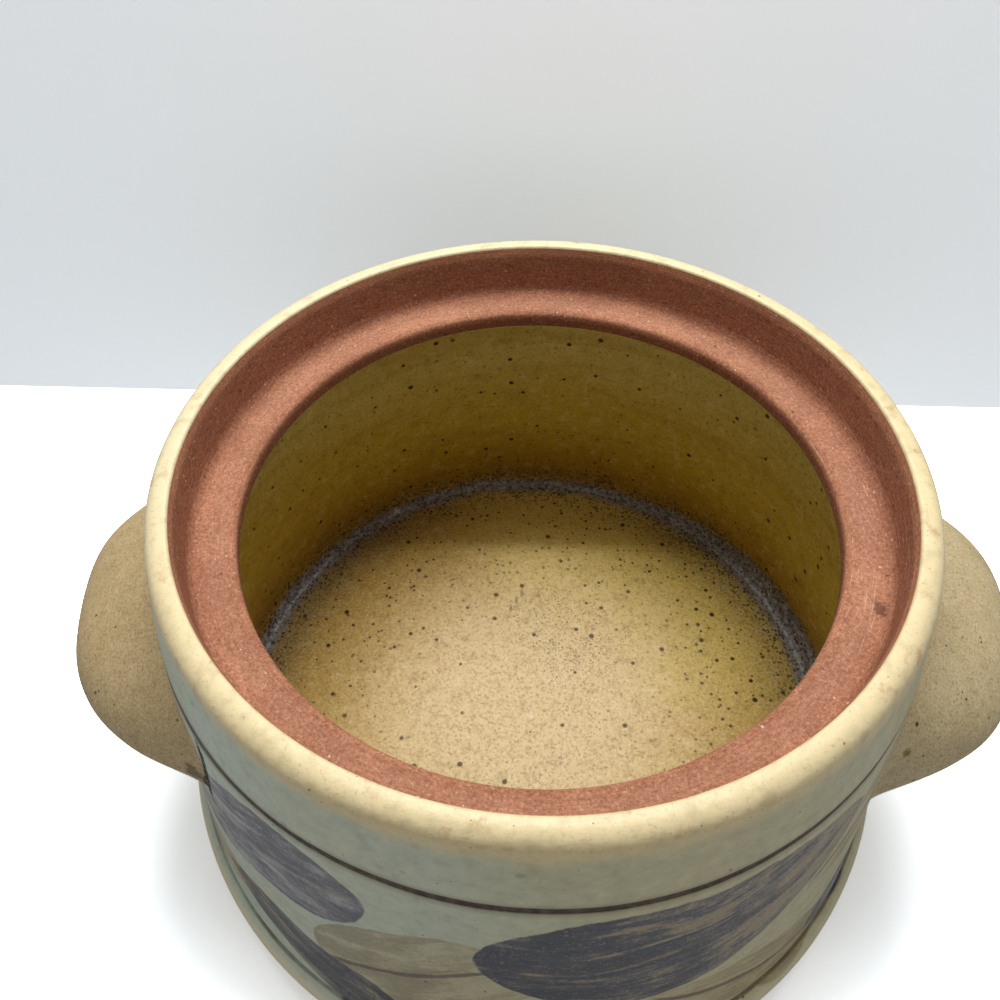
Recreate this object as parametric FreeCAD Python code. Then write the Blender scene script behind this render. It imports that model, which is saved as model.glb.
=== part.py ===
import FreeCAD, Part
import math
import os
from FreeCAD import Vector

# Stoneware bean pot with two lug handles and an open, unglazed seat for a drop-in lid.
# Millimetres. +Z is up the axis of the pot, the foot stands on z = 0, and the lugs lie along X.
# Radii are measured from the axis of the pot, heights from the table.

# ---- rim and lid seat ----
height = 135.0             # table to the crown of the lip
lid_radius = 89.5          # upright throat that the lid drops into
lip_thickness = 6.7        # clay between the throat and the outside of the lip
lip_round = 4.2            # soft outer shoulder of the lip
lip_inner_round = 0.9      # inner edge of the lip
glaze_edge_drop = 0.9      # the glaze stops this far below the crown, inside the lip
throat_thickness = 2.7     # bare clay that lines the throat
throat_ease = 0.5          # the throat opens by this much at its mouth
throat_ease_depth = 2.4    # height of that opening
seat_depth = 16.8          # crown of the lip to the ledge
seat_width = 11.4          # how far the ledge reaches in from the throat
seat_thickness = 5.6       # upright inner face of the ledge
seat_fillet = 3.2          # hollow corner between throat and ledge
seat_edge_round = 1.6      # softened inner edges of the ledge
seat_haunch = 12.7         # ledge down to where its sloping underside reaches the wall

# ---- wall ----
line_drop = 24.8           # crown of the lip to the turned line round the shoulder
band_flare = 11.0          # lean of the rim band from upright, degrees
wall_flare = 7.0           # lean of the wall below the line from upright, degrees

# ---- base ----
roll_top = 21.5            # table to the turned line above the base roll
belly_height = 15.0        # widest circle of the base roll
roll_swell = 2.9           # the roll stands this far outside the line of the wall
foot_height = 3.0          # foot ring below the clay of the wall
foot_inset = 8.8           # widest circle in to the outside of the foot ring
foot_width = 11.0          # breadth of the foot ring where it joins the wall
foot_taper = 1.6           # the foot ring narrows by this on each side
foot_round = 0.8           # softened edges of the foot ring
floor_thickness = 6.0      # clay of the floor at the wall
floor_dish = 0.7           # the floor sinks by this at its middle
floor_round = 6.5          # hollow corner between floor and wall
floor_land = 1.2           # flat of the floor that the wall carries inside that corner

# ---- lug handles ----
lug_reach = 26.9           # how far the lug's rim stands out from the wall
lug_front_angle = 32.5     # middle of the lug to its front tip round the pot, degrees
lug_back_angle = 24.0      # middle of the lug to its back tip round the pot, degrees
lug_turn = 5.9             # each lug sits this far forward of the diameter, degrees
lug_fullness = 1.26        # 1 is a plain half wave in plan, and more gives squarer corners
lug_top_gap = 1.4          # shoulder line to the root of the lug
lug_drop = 22.0            # root of the lug to its rim
lug_sag = 4.0              # the tips sit this much lower than the middle
lug_thickness = 7.6        # clay at the rim, which is fully rounded
lug_root = 11.0            # clay where the lug joins the wall
lug_luting = 0.5           # the root starts this deep in the wall, so the lug meets it at an angle
lug_bury = 4.0             # a section reaches this deep into the wall, before it is trimmed
lug_overrun = 1.12         # sections run past the tips into the wall, as a share of the angle to the tip
lug_sections = 11          # sections from end to end

# ---- places worked out from the sizes ----
line_z = height - line_drop
glaze_z = height - glaze_edge_drop
seat_z = height - seat_depth
haunch_z = seat_z - seat_haunch
floor_z = foot_height + floor_thickness
ledge_radius = lid_radius - seat_width
lining_radius = lid_radius + throat_thickness
lip_radius = lid_radius + lip_thickness


def lean(degrees):
    """Run sideways per unit of height for a surface that leans this far from upright."""
    return math.tan(math.radians(degrees))


line_radius = lip_radius + (height - lip_round - line_z) * lean(band_flare)


def outer_wall(z):
    """Radius of the straight outside of the wall at height z."""
    return line_radius + (line_z - z) * lean(wall_flare)


def inner_wall(z):
    """Radius of the straight inside of the wall at height z."""
    return lining_radius + (line_z - z) * lean(wall_flare)


roll_start = outer_wall(roll_top)
belly_radius = outer_wall(belly_height) + roll_swell
foot_radius = belly_radius - foot_inset

# The floor is a disc that meets the wall just inside the hollow corner.
corner_angle = math.radians(90 - wall_flare) / 2
floor_radius = inner_wall(floor_z) - floor_round / math.tan(corner_angle) - floor_land

# The lug hangs from its root, just below the shoulder line.
lug_top_z = line_z - lug_top_gap


def spot(r, z, degrees=0.0):
    """The point at radius r and height z, this far round the axis."""
    turn = math.radians(degrees)
    return Vector(r * math.cos(turn), r * math.sin(turn), z)


def straight(start, end):
    return Part.LineSegment(start, end).toShape()


def arc(start, middle, end):
    return Part.Arc(start, middle, end).toShape()


def bezier(poles):
    curve = Part.BezierCurve()
    curve.setPoles(poles)
    return curve.toShape()


def rounded(corners, closed=True):
    """Edges of an outline through (r, z) or (r, z, radius) corners, rounded by that radius."""
    spots = [spot(corner[0], corner[1]) for corner in corners]
    starts, ends, edges = [], [], []
    for i, corner in enumerate(corners):
        here = spots[i]
        radius = corner[2] if len(corner) > 2 else 0
        if not radius:
            starts.append(here)
            ends.append(here)
            continue
        back = (spots[i - 1] - here).normalize()
        ahead = (spots[(i + 1) % len(spots)] - here).normalize()
        half = back.getAngle(ahead) / 2
        centre = here + (back + ahead).normalize() * (radius / math.sin(half))
        starts.append(here + back * (radius / math.tan(half)))
        ends.append(here + ahead * (radius / math.tan(half)))
        middle = centre + (here - centre).normalize() * radius
        edges.append(arc(starts[-1], middle, ends[-1]))
    for i, end in enumerate(ends if closed else ends[:-1]):
        start = starts[(i + 1) % len(starts)]
        if end.distanceToPoint(start) > 1e-6:
            edges.append(straight(end, start))
    return edges


def turned(edges):
    """The solid that a closed outline sweeps round the axis of the pot."""
    wire = Part.Wire(Part.__sortEdges__(edges))
    return Part.Face(wire).revolve(Vector(0, 0, 0), Vector(0, 0, 1), 360)


def belly_arc(r, z):
    """The arc that is upright at the widest circle of the base roll and ends at this point."""
    inward, away = belly_radius - r, z - belly_height
    radius = (inward ** 2 + away ** 2) / (2 * inward)
    half = math.copysign(math.atan2(abs(away), radius - inward), away) / 2
    middle = spot(belly_radius - radius + radius * math.cos(half), belly_height + radius * math.sin(half))
    return arc(spot(belly_radius, belly_height), middle, spot(r, z))


def rim_band():
    """Glazed collar from the shoulder line up over the lip, as far as the edge of the glaze."""
    mouth_radius = lid_radius + throat_ease
    return turned(rounded([
        (lining_radius, line_z),
        (line_radius, line_z),
        (lip_radius - lip_round * lean(band_flare), height, lip_round),
        (mouth_radius, height, lip_inner_round),
        (mouth_radius, glaze_z),
        (lining_radius, glaze_z),
    ]))


def lid_seat():
    """Unglazed lining of the throat with the ledge that the lid sits on."""
    return turned(rounded([
        (lid_radius + throat_ease, glaze_z),
        (lid_radius, glaze_z - throat_ease_depth),
        (lid_radius, seat_z, seat_fillet),
        (ledge_radius, seat_z, seat_edge_round),
        (ledge_radius, seat_z - seat_thickness, seat_edge_round),
        (inner_wall(haunch_z), haunch_z),
        (lining_radius, line_z),
        (lining_radius, glaze_z),
    ]))


def wall():
    """Flared wall from the shoulder line down round the base roll, with the hollow corner inside."""
    return turned(rounded([
        (foot_radius, foot_height),
        (floor_radius, foot_height),
        (floor_radius, floor_z),
        (inner_wall(floor_z), floor_z, floor_round),
        (lining_radius, line_z),
        (line_radius, line_z),
        (roll_start, roll_top),
    ], closed=False) + [belly_arc(roll_start, roll_top), belly_arc(foot_radius, foot_height)])


def floor():
    """Disc of the floor, very slightly dished towards its middle."""
    disc = Part.makeCylinder(floor_radius, floor_thickness, spot(0, foot_height))
    dish_radius = (floor_radius ** 2 + floor_dish ** 2) / (2 * floor_dish)
    return disc.cut(Part.makeSphere(dish_radius, spot(0, floor_z - floor_dish + dish_radius)))


def foot_ring():
    """Turned ring under the wall that the pot stands on."""
    inside = foot_radius - foot_width
    return turned(rounded([
        (inside, foot_height),
        (foot_radius, foot_height),
        (foot_radius - foot_taper, 0, foot_round),
        (inside + foot_taper, 0, foot_round),
    ]))


def lug_section(share):
    """Upright section of a lug, at a share of the way from its middle to a tip.

    The back slopes out from the root and turns down to a rounded rim, and the underside
    is hollow for the fingers. Towards the tips the section sinks into the wall.
    """
    degrees = share * (lug_back_angle if share > 0 else lug_front_angle) - lug_turn
    reach = lug_reach * math.cos(math.radians(90 * abs(share) ** lug_fullness))
    hollow = reach - lug_thickness
    top_z = lug_top_z - lug_sag * share ** 2
    rim_z = top_z - lug_drop
    hollow_z = top_z - lug_root

    def on(z, out):
        return spot(outer_wall(z) + out, z, degrees)

    root = on(top_z, -lug_luting)
    rim_out = on(rim_z, reach)
    rim_in = on(rim_z, hollow)
    rim_low = spot(outer_wall(rim_z) + reach - lug_thickness / 2, rim_z - lug_thickness / 2, degrees)
    hollow_root = on(hollow_z, -lug_bury)
    top_bury = on(top_z, -lug_bury)
    shoulder = on(top_z - 0.22 * lug_drop, 0.5 * reach)
    brow = on(rim_z + 0.35 * lug_drop, reach)
    vault = on(hollow_z - 0.05 * lug_drop, 0.6 * hollow)
    cheek = on(rim_z + 0.25 * lug_drop, hollow)
    return Part.Wire([
        bezier([root, shoulder, brow, rim_out]),
        arc(rim_out, rim_low, rim_in),
        bezier([rim_in, cheek, vault, hollow_root]),
        straight(hollow_root, top_bury),
        straight(top_bury, root),
    ])


def handle_right():
    """Hollow lug lofted through its sections and trimmed to the outside of the wall."""
    steps = [2 * i / (lug_sections - 1) - 1 for i in range(lug_sections)]
    lug = Part.makeLoft([lug_section(step * lug_overrun) for step in steps], True)
    wall_core = turned(rounded([
        (0, line_z),
        (line_radius, line_z),
        (roll_start, roll_top),
        (0, roll_top),
    ]))
    return lug.cut(wall_core)


def handle_left():
    """The same lug on the other side of the pot."""
    return handle_right().mirror(Vector(0, 0, 0), Vector(1, 0, 0))


pieces = {
    "floor": floor,
    "foot_ring": foot_ring,
    "wall": wall,
    "rim_band": rim_band,
    "lid_seat": lid_seat,
    "handle_left": handle_left,
    "handle_right": handle_right,
}

os.makedirs("parts", exist_ok=True)
for name, build in pieces.items():
    shape = build()
    shape.exportStep("parts/" + name + ".step")
    box = shape.BoundBox
    print(name, "solids", len(shape.Solids), "valid", shape.isValid(), "cm3", round(shape.Volume / 1000, 1),
          "x", round(box.XMin, 1), round(box.XMax, 1), "y", round(box.YMin, 1), round(box.YMax, 1),
          "z", round(box.ZMin, 1), round(box.ZMax, 1))
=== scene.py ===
import math

import bmesh
import bpy
from mathutils import Matrix, Vector, noise


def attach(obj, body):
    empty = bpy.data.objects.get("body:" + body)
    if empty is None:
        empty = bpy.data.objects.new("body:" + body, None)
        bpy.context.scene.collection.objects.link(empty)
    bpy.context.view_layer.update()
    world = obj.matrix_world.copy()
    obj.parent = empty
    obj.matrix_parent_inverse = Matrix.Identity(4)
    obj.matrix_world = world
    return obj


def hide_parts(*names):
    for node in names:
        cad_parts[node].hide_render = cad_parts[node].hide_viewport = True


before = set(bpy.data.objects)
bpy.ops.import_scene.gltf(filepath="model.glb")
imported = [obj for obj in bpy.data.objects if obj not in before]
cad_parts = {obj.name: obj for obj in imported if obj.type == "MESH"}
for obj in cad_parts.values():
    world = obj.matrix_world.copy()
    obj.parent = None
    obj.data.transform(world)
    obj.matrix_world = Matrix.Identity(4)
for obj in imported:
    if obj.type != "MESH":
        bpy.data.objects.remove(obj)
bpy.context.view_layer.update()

mm = 0.001
turn = 2 * math.pi
print("frame loaded")


def paint(code):
    # "#rrggbb" as it is picked on a screen, to the linear colour that a shader takes
    parts = [int(code[i:i + 2], 16) / 255 for i in (1, 3, 5)]
    return [p / 12.92 if p <= 0.04045 else ((p + 0.055) / 1.055) ** 2.4 for p in parts] + [1]


def paints(settings):
    return {key: paint(value) for key, value in settings.items() if isinstance(value, str)}


def slope(degrees):
    return math.tan(math.radians(degrees))


# the camera leans over the front of the pot and looks down into it
view = {
    "place": (-5.19, -148.53, 289.59),  # mm
    "forward": (-0.02145, 0.65144, -0.75840),
    "right": (0.99968, 0.02399, -0.00766),
    "lens": 31.104, "sensor": 36, "nearest": 0.01,
}

camera = bpy.data.objects.new("camera", bpy.data.cameras.new("camera"))
bpy.context.collection.objects.link(camera)
forward, right = Vector(view["forward"]).normalized(), Vector(view["right"]).normalized()
leaning = Matrix((right, right.cross(forward), -forward)).transposed().to_4x4()
camera.matrix_world = Matrix.Translation(Vector(view["place"]) * mm) @ leaning
camera.data.lens = view["lens"]
camera.data.sensor_width = view["sensor"]
camera.data.clip_start = view["nearest"]
bpy.context.scene.camera = camera
print("camera placed")


class Wires:
    # short hands for building a node tree; a plug is a number, a colour or another node's output

    def __init__(self, tree):
        self.tree = tree

    def add(self, kind, plugs=(), out=0, **settings):
        made = self.tree.nodes.new(kind)
        for key, value in settings.items():
            setattr(made, key, value)
        named = plugs.items() if isinstance(plugs, dict) else enumerate(plugs)
        for key, plug in named:
            if isinstance(plug, bpy.types.NodeSocket):
                self.tree.links.new(plug, made.inputs[key])
            elif plug is not None:
                made.inputs[key].default_value = plug
        return made if out is None else made.outputs[out]

    def sum(self, operation, *plugs):
        return self.add("ShaderNodeMath", plugs, operation=operation)

    def chain(self, operation, first, *rest):
        for plug in rest:
            first = self.sum(operation, first, plug)
        return first

    def times(self, *plugs):
        return self.chain("MULTIPLY", *plugs)

    def plus(self, *plugs):
        return self.chain("ADD", *plugs)

    def most(self, *plugs):
        return self.chain("MAXIMUM", *plugs)

    def minus(self, first, second):
        return self.sum("SUBTRACT", first, second)

    def ramp(self, value, low, high, start=0.0, end=1.0, soft=True):
        kind = "SMOOTHSTEP" if soft else "LINEAR"
        return self.add("ShaderNodeMapRange", (value, low, high, start, end), interpolation_type=kind)

    def spread(self, value, most, low=0.0, high=1.0):
        # noise made to swing by this much either way
        return self.ramp(value, low, high, -most, most, soft=False)

    def blend(self, factor, first, second):
        return self.add("ShaderNodeMix", {0: factor, 6: first, 7: second}, out=2, data_type="RGBA")

    def grain(self, place, scale, detail=2.0, rough=0.5, warp=0.0):
        # cloudy noise from 0 to 1; scale is how many clouds there are to a millimetre
        plugs = {"Vector": place, "Scale": scale, "Detail": detail, "Roughness": rough, "Distortion": warp}
        return self.add("ShaderNodeTexNoise", plugs)

    def shift(self, place, x, y, z):
        return self.add("ShaderNodeVectorMath", (place, (x, y, z)), operation="ADD")

    def stretch(self, place, x, y, z):
        return self.add("ShaderNodeVectorMath", (place, (x, y, z)), operation="MULTIPLY")

    def join(self, x, y, z):
        return self.add("ShaderNodeCombineXYZ", (x, y, z))

    def part(self, place):
        made = self.add("ShaderNodeSeparateXYZ", (place,), out=None)
        return made.outputs[0], made.outputs[1], made.outputs[2]

    def specks(self, place, apart, largest, share, seed=0.0):
        # round specks, one to a cell of this many millimetres, kept in a share of the cells
        cell = self.add("ShaderNodeTexVoronoi", {"Vector": self.shift(place, seed, 2 * seed, -seed),
                                                 "Scale": 1 / apart}, out=None)
        luck = self.part(cell.outputs["Color"])[0]
        size = self.ramp(luck, 1 - share, 1.0, 0.4 * largest, largest, soft=False)
        near = self.times(cell.outputs["Distance"], apart)
        spot = self.ramp(self.sum("DIVIDE", near, size), 1.15, 0.6)
        return self.times(spot, self.sum("GREATER_THAN", luck, 1 - share))

    def blot(self, place, centre, size, squeeze=(1, 1, 1)):
        # one ragged spot of this size round a point, mm; a squeeze below 1 draws it out along that axis
        gap = self.stretch(self.shift(place, *(-c for c in centre)), *squeeze)
        away = self.add("ShaderNodeVectorMath", (gap,), out=1, operation="LENGTH")
        ragged = self.grain(place, 1.5 / size, 3, 0.7)
        away = self.plus(away, self.spread(ragged, 0.5 * size, 0.2, 0.8))
        return self.ramp(away, size, 0.4 * size)


def newMaterial(name):
    material = bpy.data.materials.new(name)
    material.use_nodes = True
    material.node_tree.nodes.clear()
    return material, Wires(material.node_tree)


def potPlaces(w):
    # millimetres from the foot's centre: the point, its radius, its height and its angle
    point = w.add("ShaderNodeTexCoord", out=3)
    place = w.stretch(point, 1000, 1000, 1000)
    x, y, z = w.part(place)
    radius = w.sum("POWER", w.plus(w.times(x, x), w.times(y, y)), 0.5)
    return place, radius, z, w.sum("ARCTAN2", y, x)


def finishMaterial(w, colour, roughness, height, depth, gloss=0.5):
    bump = w.add("ShaderNodeBump", {"Strength": 1.0, "Distance": depth * mm, "Height": height})
    plugs = {"Base Color": colour, "Roughness": roughness, "Specular IOR Level": gloss, "Normal": bump}
    shader = w.add("ShaderNodeBsdfPrincipled", plugs)
    w.add("ShaderNodeOutputMaterial", (shader,), out=None)


# thrown clay: a slow wobble and the soft rings that fingers leave
clayWobble = {
    "slow": 0.32, "slowSize": 55.0, "rings": 0.10, "ringHeight": 6.5, "ringDrift": 0.004,
    "seatShare": 0.3, "seatEdge": 91.0, "seatFade": 3.0, "seatLow": 105.0,
}


def wobble(x, y, z):
    radius = math.hypot(x, y)
    c = clayWobble
    slow = noise.noise(Vector((x, y, z)) / c["slowSize"]) * c["slow"]
    along = (z + 0.8 * radius) / c["ringHeight"]
    rings = noise.noise(Vector((x * c["ringDrift"], y * c["ringDrift"], along))) * c["rings"]
    loose = 1  # the lid seat was trued up, and the rest wasn't
    if z > c["seatLow"]:
        loose = min(1, max(0, (radius - c["seatEdge"]) / c["seatFade"]))
    return (slow + rings) * (c["seatShare"] + (1 - c["seatShare"]) * loose)


def roundedLine(corners, steps=9):
    # (r, z) or (r, z, radius) corners to a closed line with its corners rounded
    line = []
    for i, corner in enumerate(corners):
        here = Vector(corner[:2])
        radius = corner[2] if len(corner) > 2 else 0
        if not radius:
            line.append(here)
            continue
        back = (Vector(corners[i - 1][:2]) - here).normalized()
        ahead = (Vector(corners[(i + 1) % len(corners)][:2]) - here).normalized()
        half = back.angle(ahead) / 2
        centre = here + (back + ahead).normalized() * (radius / math.sin(half))
        start = here + back * (radius / math.tan(half)) - centre
        end = here + ahead * (radius / math.tan(half)) - centre
        swing = start.angle_signed(end)
        line += [centre + Matrix.Rotation(-swing * k / steps, 2) @ start for k in range(steps + 1)]
    return line


def subdivided(line, longest):
    fine = []
    for i, here in enumerate(line):
        after = line[(i + 1) % len(line)]
        count = max(1, math.ceil((after - here).length / longest))
        fine += [here.lerp(after, k / count) for k in range(count)]
    return fine


def addPiece(name, verts, faces, materials, pick, sharp=40):
    mesh = bpy.data.meshes.new(name)
    mesh.from_pydata([Vector(v) * mm for v in verts], [], faces)
    work = bmesh.new()
    work.from_mesh(mesh)
    bmesh.ops.recalc_face_normals(work, faces=work.faces)
    work.to_mesh(mesh)
    work.free()
    for material in materials:
        mesh.materials.append(material)
    for face in mesh.polygons:
        face.use_smooth = True
        face.material_index = pick(face.center / mm) if len(materials) > 1 else 0
    mesh.set_sharp_from_angle(angle=math.radians(sharp))
    piece = bpy.data.objects.new(name, mesh)
    bpy.context.collection.objects.link(piece)
    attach(piece, "root")
    return piece


def spin(name, line, materials, pick=None, around=256, longest=1.4):
    # sweeps a closed line of (r, z) points round the axis
    verts, faces, rings = [], [], []
    for r, z in subdivided(line, longest):
        if r < 1e-4:
            rings.append([len(verts)] * around)
            verts.append((0, 0, z))
            continue
        rings.append(range(len(verts), len(verts) + around))
        for k in range(around):
            x, y = math.cos(turn * k / around), math.sin(turn * k / around)
            out = r + wobble(r * x, r * y, z)
            verts.append((out * x, out * y, z))
    for ring, after in zip(rings, rings[1:] + rings[:1]):
        for k in range(around):
            face = [ring[k], ring[(k + 1) % around], after[(k + 1) % around], after[k]]
            face = list(dict.fromkeys(face))
            if len(face) > 2:
                faces.append(face)
    return addPiece(name, verts, faces, materials, pick)


# sizes in mm shared by the turned pieces
rimShape = {
    "height": 135.0, "throat": 89.5, "lip": 6.7, "lipRound": 4.2, "innerRound": 0.9,
    "glazeDrop": 0.9, "lining": 2.7, "ease": 0.5, "lean": 11.0, "lineDrop": 24.8,
}
lineZ = rimShape["height"] - rimShape["lineDrop"]
glazeZ = rimShape["height"] - rimShape["glazeDrop"]
liningRadius = rimShape["throat"] + rimShape["lining"]
lipRadius = rimShape["throat"] + rimShape["lip"]
lineRadius = lipRadius + (rimShape["height"] - rimShape["lipRound"] - lineZ) * slope(rimShape["lean"])

seatShape = {
    "easeDepth": 2.4, "depth": 16.8, "width": 11.4, "thick": 5.6, "hollow": 3.2, "edge": 1.6,
    "haunch": 12.7, "glazeOver": 0.4,  # the glaze inside the pot ends this far above the ledge's lower edge
}
seatZ = rimShape["height"] - seatShape["depth"]
haunchZ = seatZ - seatShape["haunch"]
ledgeRadius = rimShape["throat"] - seatShape["width"]
wallShape = {
    "lean": 7.0, "rollTop": 21.5, "belly": 15.0, "swell": 2.9, "corner": 6.5, "land": 1.2,
    "footHeight": 3.0, "floorThick": 6.0, "footInset": 8.8,
    "lineGroove": 0.4, "lineHeight": 1.9, "baseGroove": 0.25, "baseGrooveHeight": 1.2, "lineSteps": 8,
}
floorZ = wallShape["footHeight"] + wallShape["floorThick"]


def outerWall(z):
    return lineRadius + (lineZ - z) * slope(wallShape["lean"])


def innerWall(z):
    return liningRadius + (lineZ - z) * slope(wallShape["lean"])


bellyRadius = outerWall(wallShape["belly"]) + wallShape["swell"]
footRadius = bellyRadius - wallShape["footInset"]
cornerAngle = math.radians(90 - wallShape["lean"]) / 2
floorRadius = innerWall(floorZ) - wallShape["corner"] / math.tan(cornerAngle) - wallShape["land"]


# how a loaded brush marks the pot: mm, and what share of its streaks each kind of noise gives
brush = {
    "fullness": 0.62, "heel": 0.28, "ragged": 0.8, "raggedRib": 0.35, "edge": (0.14, 3, 0.55),
    "bands": (0.022, 0.14), "bandShare": 0.4,  # how many there are to a mm along the stroke and across it
    "hairs": (0.06, 0.9), "hairShare": 0.13,
    "clouds": 0.075, "cloudShare": 0.39, "grains": 1.1, "grainShare": 0.14, "dryingShare": 0.06,
    "thickToThin": (0.46, 0.6), "edgeFade": (-0.2, 0.7), "rimFade": (2.4, 0.3), "ribFade": (1.3, 0.7),
    "tipFade": (1.0, 0.97), "ribTipFade": (0.98, 0.85),  # shares of the half length
}


def brushMark():
    # one loaded brush stroke: a long lens with streaks along it and a darker edge where the wash pools
    group = bpy.data.node_groups.new("brushMark", "ShaderNodeTree")
    sockets = (("u", 0), ("v", 0), ("centreV", 0), ("angle", 0), ("halfLength", 20), ("halfWidth", 7),
               ("bend", 0), ("seed", 0))
    for name, value in sockets:
        socket = group.interface.new_socket(name, in_out="INPUT", socket_type="NodeSocketFloat")
        socket.default_value = value
    for name in ("mask", "streak", "rim", "rib"):
        group.interface.new_socket(name, in_out="OUTPUT", socket_type="NodeSocketFloat")
    w = Wires(group)
    given = group.nodes.new("NodeGroupInput").outputs
    seed = given["seed"]
    du, dv = given["u"], w.minus(given["v"], given["centreV"])
    c, s = w.sum("COSINE", given["angle"]), w.sum("SINE", given["angle"])
    along = w.plus(w.times(du, c), w.times(dv, s))
    t = w.ramp(w.sum("DIVIDE", along, given["halfLength"]), -1.2, 1.2, -1.2, 1.2, soft=False)
    tip = w.sum("ABSOLUTE", t)
    across = w.minus(w.times(dv, c), w.times(du, s))
    across = w.minus(across, w.times(given["bend"], w.times(t, t)))
    lens = w.sum("POWER", w.most(w.minus(1.0, w.times(t, t)), 0.0), brush["fullness"])
    lens = w.times(lens, w.sum("MULTIPLY_ADD", t, -brush["heel"], 1.0))
    width = w.most(w.times(lens, given["halfWidth"]), 0.001)
    stroke = w.join(along, across, seed)
    ragged = w.grain(stroke, *brush["edge"])
    inside = w.minus(width, w.sum("ABSOLUTE", across))
    inside = w.plus(inside, w.spread(ragged, brush["ragged"], 0.2, 0.8))

    # bands of the brush, hair lines in them, and clouds where the wash was wetter
    bands = w.join(w.times(along, brush["bands"][0]), w.times(across, brush["bands"][1]), seed)
    hairs = w.join(w.times(along, brush["hairs"][0]), w.times(across, brush["hairs"][1]), seed)
    streak = w.times(w.grain(hairs, 1.0, 3, 0.7, 0.4), brush["hairShare"])
    for layer, share in (
        (w.grain(bands, 1.0, 3, 0.6, 1.4), brush["bandShare"]),
        (w.grain(stroke, brush["clouds"], 4, 0.7), brush["cloudShare"]),
        (w.grain(stroke, brush["grains"], 3, 0.8), brush["grainShare"]),
        (t, brush["dryingShare"]),
    ):
        streak = w.sum("MULTIPLY_ADD", layer, share, streak)
    ribWidth = w.plus(w.sum("ABSOLUTE", across), w.spread(ragged, brush["raggedRib"], 0.2, 0.8))
    made = {
        "mask": w.times(w.ramp(inside, *brush["edgeFade"]), w.ramp(tip, *brush["tipFade"])),
        "streak": w.ramp(streak, *brush["thickToThin"], soft=False),
        "rim": w.ramp(inside, *brush["rimFade"]),
        "rib": w.times(w.ramp(ribWidth, *brush["ribFade"]), w.ramp(tip, *brush["ribTipFade"])),
    }
    out = group.nodes.new("NodeGroupOutput")
    for name, plug in made.items():
        group.links.new(plug, out.inputs[name])
    return group


def layered(w, colour, noise, look, layers):
    # each layer is a colour's name, the noise at which it starts and is full, and its share there
    for name, start, full, share in layers:
        colour = w.blend(w.ramp(noise, start, full, 0, share), colour, look[name])
    return colour


def marked(w, colour, look, marks):
    # each mark is a mask, its share and a colour's name
    for mask, share, name in marks:
        colour = w.blend(w.times(mask, share), colour, look[name])
    return colour


def facing(w, angle, heading):
    # 1 on the side of the pot at this heading in radians, and -1 across from it
    return w.sum("COSINE", w.minus(angle, heading))


def drawnOut(w, places, pace, detail, rough):
    # noise drawn out round the pot: how fast it changes with the angle, the radius and the height
    _, radius, z, angle = places
    stretched = w.join(w.times(angle, pace[0]), w.times(radius, pace[1]), w.times(z, pace[2]))
    return w.grain(stretched, 1.0, detail, rough)


# painted shade: a dark line down the crease where the left lug's front tip meets the wall, mm
lugCreaseShade = {
    "down": ((-77.0, -65.6, 102.5), (-77.9, -65.7, 96.0), (-79.1, -65.7, 89.5), (-80.5, -65.3, 83.0)),
    "size": 2.1, "squeeze": (1, 1, 0.24), "share": 0.95,
}


def creaseShadeMark(w, place):
    creaseShade = lugCreaseShade
    marks = [w.blot(place, middle, creaseShade["size"], creaseShade["squeeze"]) for middle in creaseShade["down"]]
    return w.times(w.most(*marks), creaseShade["share"])


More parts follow.
